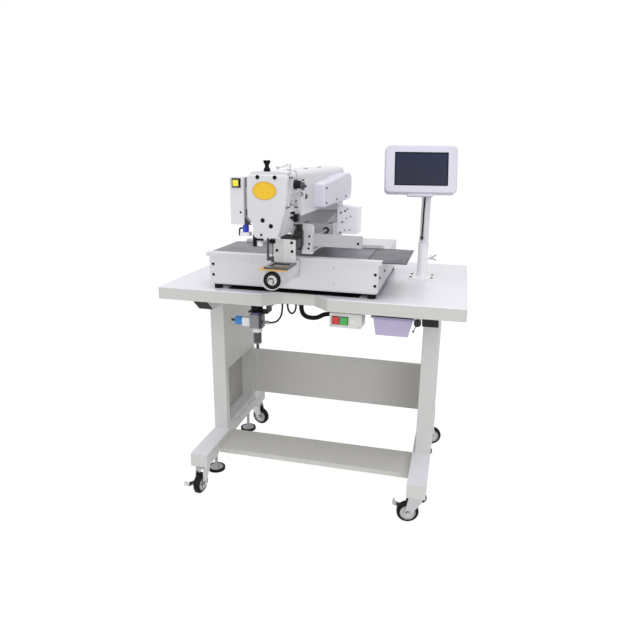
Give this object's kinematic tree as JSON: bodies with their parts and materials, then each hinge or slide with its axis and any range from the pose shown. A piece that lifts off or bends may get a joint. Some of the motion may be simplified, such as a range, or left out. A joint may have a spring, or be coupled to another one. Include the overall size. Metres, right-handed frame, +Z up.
{
  "type": "lockstitch sewing machine",
  "caption": "Programmable lockstitch sewing machine with a cylinder bed, x-y feed clamp and operating panel, on a wheeled stand.",
  "frame": {"origin": "on the floor, under the middle of the bounding box", "axes": "+X to the operator's right, +Y to the back, +Z up"},
  "size_m": [1, 0.902, 1.2324],
  "materials": {
    "tabletop_laminate": "pale laminate, satin",
    "stand_paint": "light grey powder coat",
    "sheet_paint": "grey-beige paint",
    "black_plastic": "matte black",
    "zinc": "zinc plated",
    "wheel_rubber": "black tread on a pale hub",
    "black_steel": "black paint",
    "air_plastic": "white body, violet ring, blue coupling",
    "bowl": "smoked",
    "hose": "black",
    "switch_plastic": "grey",
    "red_plastic": "red",
    "green_plastic": "green",
    "yellow_plastic": "yellow",
    "drawer_plastic": "lavender grey",
    "post_paint": "light grey paint",
    "panel_plastic": "lavender white",
    "screen_glass": "dark navy",
    "machine_paint": "very light grey enamel",
    "foot_rubber": "black",
    "dark_steel": "dark blued steel",
    "throat_amber": "amber plated",
    "bright_steel": "ground steel",
    "pulley_paint": "turned"
  },
  "bodies": {
    "stand": {"tabletop": "tabletop_laminate", "left_leg": "stand_paint", "right_leg": "stand_paint", "lower_tray": "sheet_paint", "rear_panel": "sheet_paint", "rail_end_plugs": "black_plastic", "cable_grommets": "black_plastic", "levelling_feet": "zinc", "drawer_runners": "zinc", "air_bracket": "black_steel", "hook_ring": "black_steel", "regulator_body": "air_plastic", "filter_bowl": "bowl", "air_hose": "hose", "hose_loop": "hose", "cable_conduit": "hose", "switch_box": "switch_plastic", "post_socket": "post_paint", "bed_base": "machine_paint", "front_cover": "machine_paint", "arm_casting": "machine_paint", "face_cover": "machine_paint", "motor_cover": "machine_paint", "valve_box": "machine_paint", "side_box": "machine_paint", "base_feet": "foot_rubber", "slide_covers": "dark_steel", "throat_plate": "throat_amber"},
    "front_left_swivel": {"caster_fork_front_left": "zinc"},
    "front_left_wheel": {"caster_wheel_front_left": "wheel_rubber"},
    "front_left_brake": {"brake_pedal_front_left": "zinc"},
    "front_right_swivel": {"caster_fork_front_right": "zinc"},
    "front_right_wheel": {"caster_wheel_front_right": "wheel_rubber"},
    "front_right_brake": {"brake_pedal_front_right": "zinc"},
    "rear_left_swivel": {"caster_fork_rear_left": "zinc"},
    "rear_left_wheel": {"caster_wheel_rear_left": "wheel_rubber"},
    "rear_right_swivel": {"caster_fork_rear_right": "zinc"},
    "rear_right_wheel": {"caster_wheel_rear_right": "wheel_rubber"},
    "regulator_knob": {"regulator_knob": "black_plastic"},
    "stop_button": {"stop_button": "red_plastic"},
    "start_button": {"start_button": "green_plastic"},
    "halt_button": {"halt_button": "yellow_plastic"},
    "drawer": {"drawer": "drawer_plastic"},
    "lock_knob": {"lock_knob": "black_plastic"},
    "post": {"post": "post_paint", "panel_cable": "hose"},
    "wing_screw": {"wing_screw": "zinc"},
    "panel_bracket": {"panel_bracket": "post_paint"},
    "panel": {"panel_housing": "panel_plastic", "panel_screen": "screen_glass"},
    "hand_pulley": {"hand_pulley": "pulley_paint"},
    "shuttle_hook": {"shuttle_hook": "bright_steel"},
    "x_carriage": {"x_carriage": "machine_paint"},
    "feed_arm": {"feed_arm": "bright_steel"},
    "work_clamp": {"work_clamp": "bright_steel"},
    "needle_bar": {"needle_bar": "bright_steel"},
    "take_up_lever": {"take_up_lever": "bright_steel"},
    "presser_foot": {"presser_foot": "bright_steel"},
    "presser_knob": {"presser_knob": "bright_steel"},
    "tension_knob": {"tension_knob": "bright_steel"}
  },
  "joints": [
    {"name": "front_left_swivel_turn", "type": "hinge", "parent": "stand", "child": "front_left_swivel", "pos_m": [-0.388, -0.215, 0.107], "axis": [0, 0, 1], "continuous": true},
    {"name": "front_left_wheel_spin", "type": "hinge", "parent": "front_left_swivel", "child": "front_left_wheel", "pos_m": [-0.39027, -0.2409, 0.0375], "axis": [0.9962, -0.0872, 0], "continuous": true},
    {"name": "front_left_brake_press", "type": "hinge", "parent": "front_left_swivel", "child": "front_left_brake", "pos_m": [-0.39027, -0.2409, 0.0375], "axis": [0.9962, -0.0872, 0], "range_deg": [0, 20]},
    {"name": "front_right_swivel_turn", "type": "hinge", "parent": "stand", "child": "front_right_swivel", "pos_m": [0.388, -0.215, 0.107], "axis": [0, 0, 1], "continuous": true},
    {"name": "front_right_wheel_spin", "type": "hinge", "parent": "front_right_swivel", "child": "front_right_wheel", "pos_m": [0.3624, -0.21951, 0.0375], "axis": [0.1736, -0.9848, 0], "continuous": true},
    {"name": "front_right_brake_press", "type": "hinge", "parent": "front_right_swivel", "child": "front_right_brake", "pos_m": [0.3624, -0.21951, 0.0375], "axis": [0.1736, -0.9848, 0], "range_deg": [0, 20]},
    {"name": "rear_left_swivel_turn", "type": "hinge", "parent": "stand", "child": "rear_left_swivel", "pos_m": [-0.388, 0.35, 0.107], "axis": [0, 0, 1], "continuous": true},
    {"name": "rear_left_wheel_spin", "type": "hinge", "parent": "rear_left_swivel", "child": "rear_left_wheel", "pos_m": [-0.36257, 0.34459, 0.0375], "axis": [0.2079, 0.9781, 0], "continuous": true},
    {"name": "rear_right_swivel_turn", "type": "hinge", "parent": "stand", "child": "rear_right_swivel", "pos_m": [0.388, 0.35, 0.107], "axis": [0, 0, 1], "continuous": true},
    {"name": "rear_right_wheel_spin", "type": "hinge", "parent": "rear_right_swivel", "child": "rear_right_wheel", "pos_m": [0.41311, 0.35673, 0.0375], "axis": [-0.2588, 0.9659, 0], "continuous": true},
    {"name": "regulator_knob_turn", "type": "hinge", "parent": "stand", "child": "regulator_knob", "pos_m": [-0.172, -0.204, 0.707], "axis": [0, 0, 1], "range_deg": [-150, 150]},
    {"name": "stop_button_press", "type": "slide", "parent": "stand", "child": "stop_button", "axis": [0, 1, 0], "range_m": [0, 0.003], "stiffness_N_per_m": 800, "springref_m": -0.001},
    {"name": "start_button_press", "type": "slide", "parent": "stand", "child": "start_button", "axis": [0, 1, 0], "range_m": [0, 0.003], "stiffness_N_per_m": 800, "springref_m": -0.001},
    {"name": "halt_button_press", "type": "slide", "parent": "stand", "child": "halt_button", "axis": [0, 1, 0], "range_m": [0, 0.003], "stiffness_N_per_m": 800, "springref_m": -0.001},
    {"name": "drawer_pull", "type": "slide", "parent": "stand", "child": "drawer", "axis": [0, -1, 0], "range_m": [0, 0.18]},
    {"name": "lock_knob_turn", "type": "hinge", "parent": "stand", "child": "lock_knob", "pos_m": [0.357, -0.235, 0.71], "axis": [0, -1, 0], "range_deg": [0, 60]},
    {"name": "post_height", "type": "slide", "parent": "stand", "child": "post", "axis": [0, 0, 1], "range_m": [0, 0.08]},
    {"name": "wing_screw_turn", "type": "hinge", "parent": "stand", "child": "wing_screw", "pos_m": [0.359, 0.155, 0.846], "axis": [1, 0, 0], "range_deg": [-180, 180]},
    {"name": "panel_turn", "type": "hinge", "parent": "post", "child": "panel_bracket", "pos_m": [0.337, 0.155, 1.06], "axis": [0, 0, 1], "range_deg": [-60, 60]},
    {"name": "panel_tilt", "type": "hinge", "parent": "panel_bracket", "child": "panel", "pos_m": [0.337, 0.155, 1.0944], "axis": [-0.9781, -0.2079, 0], "range_deg": [-12, 20]},
    {"name": "hand_pulley_turn", "type": "hinge", "parent": "stand", "child": "hand_pulley", "pos_m": [-0.048, 0.296, 1.088], "axis": [0, 1, 0], "continuous": true},
    {"name": "shuttle_hook_turn", "type": "hinge", "parent": "stand", "child": "shuttle_hook", "pos_m": [-0.044, -0.424, 0.857], "axis": [0, 1, 0], "continuous": true},
    {"name": "x_feed", "type": "slide", "parent": "stand", "child": "x_carriage", "axis": [1, 0, 0], "range_m": [-0.119, 0.081]},
    {"name": "y_feed", "type": "slide", "parent": "x_carriage", "child": "feed_arm", "axis": [0, 1, 0], "range_m": [-0.03, 0.055]},
    {"name": "clamp_lift", "type": "slide", "parent": "feed_arm", "child": "work_clamp", "axis": [0, 0, 1], "range_m": [0, 0.008]},
    {"name": "needle_stroke", "type": "slide", "parent": "stand", "child": "needle_bar", "axis": [0, 0, 1], "range_m": [-0.036, 0]},
    {"name": "take_up_swing", "type": "hinge", "parent": "stand", "child": "take_up_lever", "pos_m": [-0.006, -0.33, 1.062], "axis": [1, 0, 0], "range_deg": [0, 18]},
    {"name": "presser_lift", "type": "slide", "parent": "stand", "child": "presser_foot", "axis": [0, 0, 1], "range_m": [-0.014, 0]},
    {"name": "presser_knob_turn", "type": "hinge", "parent": "stand", "child": "presser_knob", "pos_m": [-0.057, -0.422, 1.154], "axis": [0, 0, 1], "range_deg": [-180, 180]},
    {"name": "tension_knob_turn", "type": "hinge", "parent": "stand", "child": "tension_knob", "pos_m": [0.008, -0.382, 1.12], "axis": [1, 0, 0], "range_deg": [-180, 180]}
  ],
  "couplings": [
    {"joint": "shuttle_hook_turn", "follows": "hand_pulley_turn", "ratio": -2},
    {"joint": "take_up_swing", "follows": "needle_stroke", "rad_per_m": -8.4842}
  ]
}
